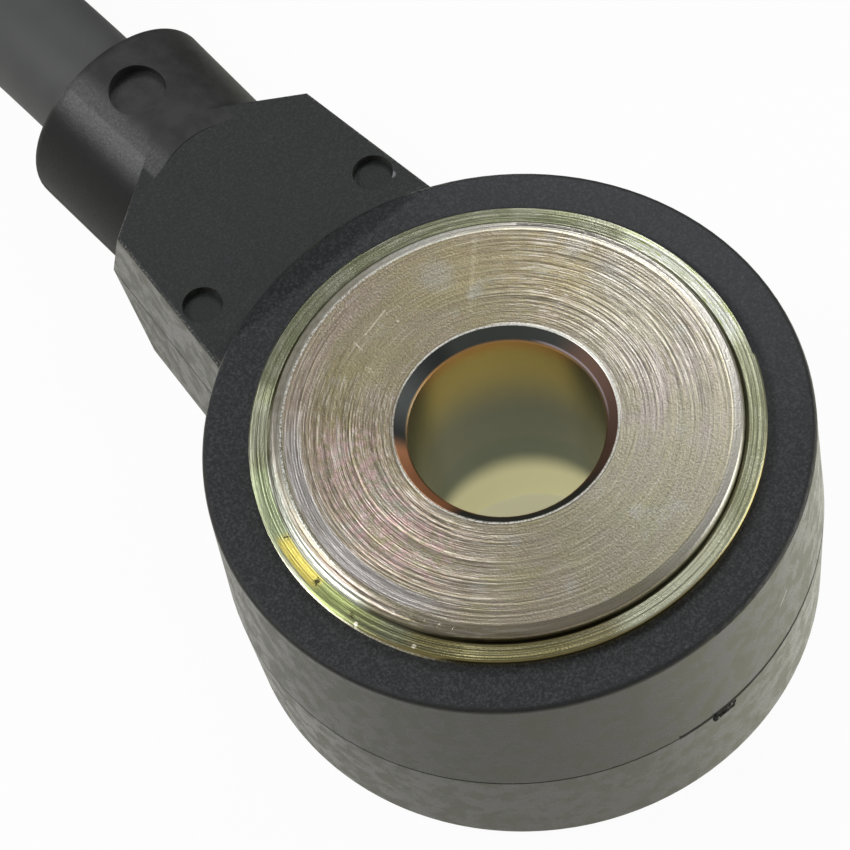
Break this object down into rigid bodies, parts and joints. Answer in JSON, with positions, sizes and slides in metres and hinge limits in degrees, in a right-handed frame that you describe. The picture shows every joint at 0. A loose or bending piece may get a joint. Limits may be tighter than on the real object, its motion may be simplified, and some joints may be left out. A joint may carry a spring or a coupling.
{
  "type": "engine knock sensor",
  "caption": "Ring-shaped engine knock sensor with a bolt bore, a moulded neck and a cable that ends in a sealed plug.",
  "frame": {"origin": "middle of the bolt bore, halfway between the contact face and the plain end of the bush", "axes": "+Z along the bolt bore, out of the contact face; +Y along the neck, from the bore to the cable's exit"},
  "size_m": [0.0778, 0.1126, 0.02],
  "materials": {
    "chromated_steel": "turned, zinc plated and yellow chromated, with grey stains",
    "plain_steel": "plain",
    "tinned_brass": "tinned",
    "copper_strand": "stranded copper, drawn as a plain rod",
    "piezo_ceramic": "silvered faces",
    "resistor_ceramic": "glazed",
    "insulating_film": "thin film",
    "core_insulation": "smooth",
    "housing_plastic": "glass-filled black, fine grain, dusty",
    "connector_plastic": "fine grain",
    "retainer_plastic": "smooth",
    "seal_rubber": "silicone, matt",
    "cable_jacket": "matt, slightly dusty"
  },
  "bodies": {
    "root": {"bush": "chromated_steel", "insulating_sleeve": "insulating_film", "upper_insulator": "insulating_film", "lower_insulator": "insulating_film", "upper_contact": "tinned_brass", "lower_contact": "tinned_brass", "piezo_ring": "piezo_ceramic", "seismic_mass": "plain_steel", "disc_spring": "plain_steel", "ring_nut": "plain_steel", "discharge_resistor": "resistor_ceramic", "conductor_left": "copper_strand", "conductor_right": "copper_strand", "core_insulation_left": "core_insulation", "core_insulation_right": "core_insulation", "housing": "housing_plastic", "cable_lead": "cable_jacket", "cable_coil": "cable_jacket", "cable_tail": "cable_jacket", "connector_cap": "connector_plastic", "plug_body": "connector_plastic", "terminal_retainer": "retainer_plastic", "face_seal": "seal_rubber", "terminal_left": "tinned_brass", "terminal_right": "tinned_brass", "plug_wire_left": "core_insulation", "plug_wire_right": "core_insulation", "plug_strands_left": "copper_strand", "plug_strands_right": "copper_strand", "wire_seal_left": "seal_rubber", "wire_seal_right": "seal_rubber"}
  },
  "joints": []
}
